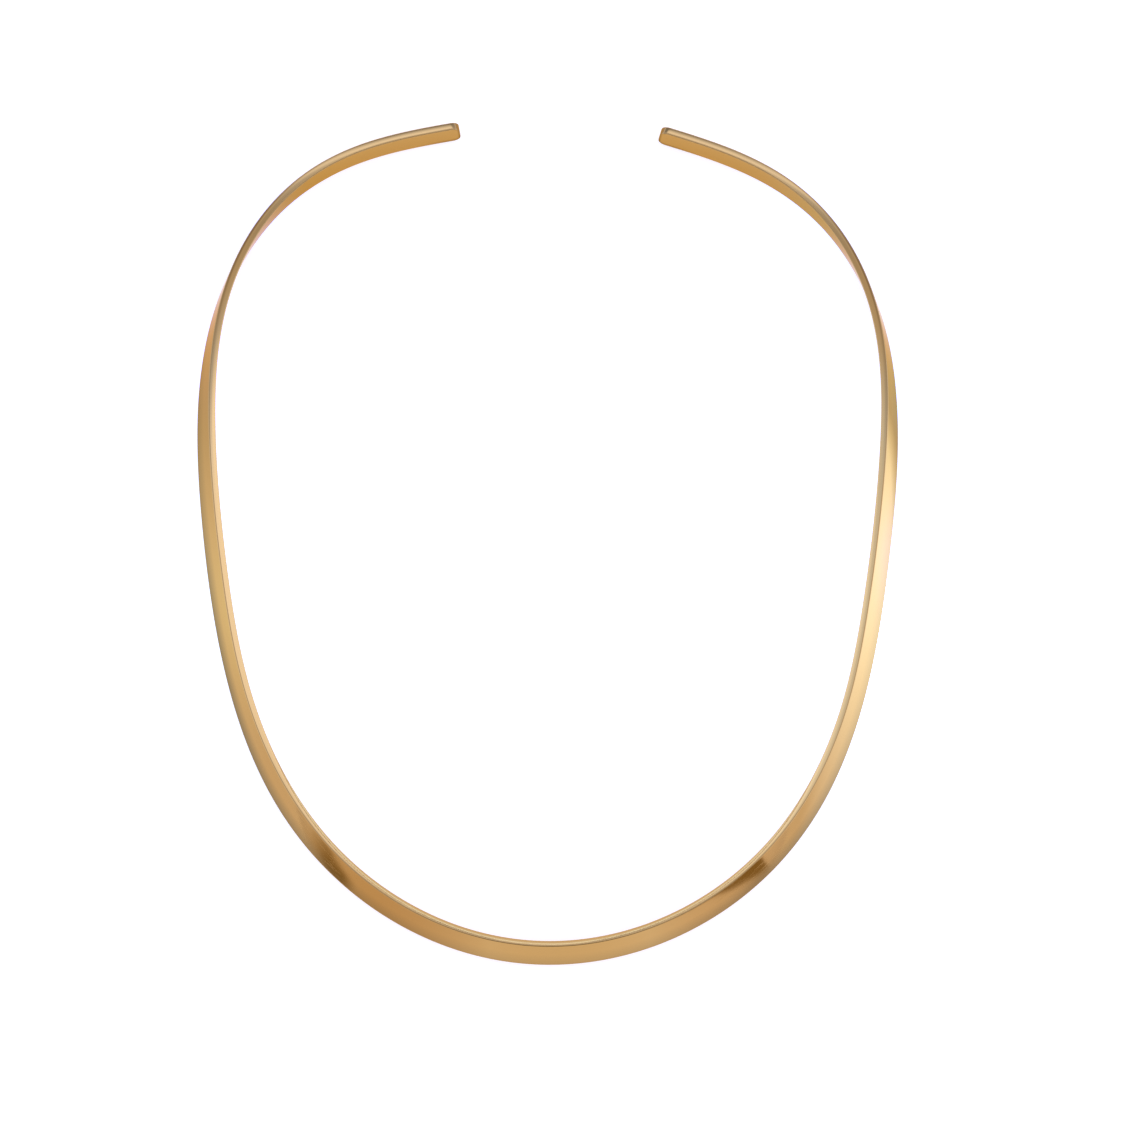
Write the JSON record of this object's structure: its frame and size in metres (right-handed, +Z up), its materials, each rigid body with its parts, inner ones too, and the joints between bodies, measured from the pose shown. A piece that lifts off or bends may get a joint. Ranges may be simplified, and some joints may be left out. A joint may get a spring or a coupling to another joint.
{
  "type": "neck wire",
  "caption": "Open rigid neck wire: a flat polished gold bar bent into an egg-shaped loop, flared like a collar round the bow, with a gap at the nape.",
  "frame": {"origin": "on the surface that it lies on, under the middle of its bounding box", "axes": "+X to the right along the line between the two tips, +Y from the front bow towards the gap at the nape, +Z up from the surface"},
  "size_m": [0.1264, 0.1512, 0.0049],
  "materials": {
    "polished_gold": "polished yellow gold"
  },
  "bodies": {
    "root": {"neck_wire": "polished_gold"}
  },
  "joints": []
}
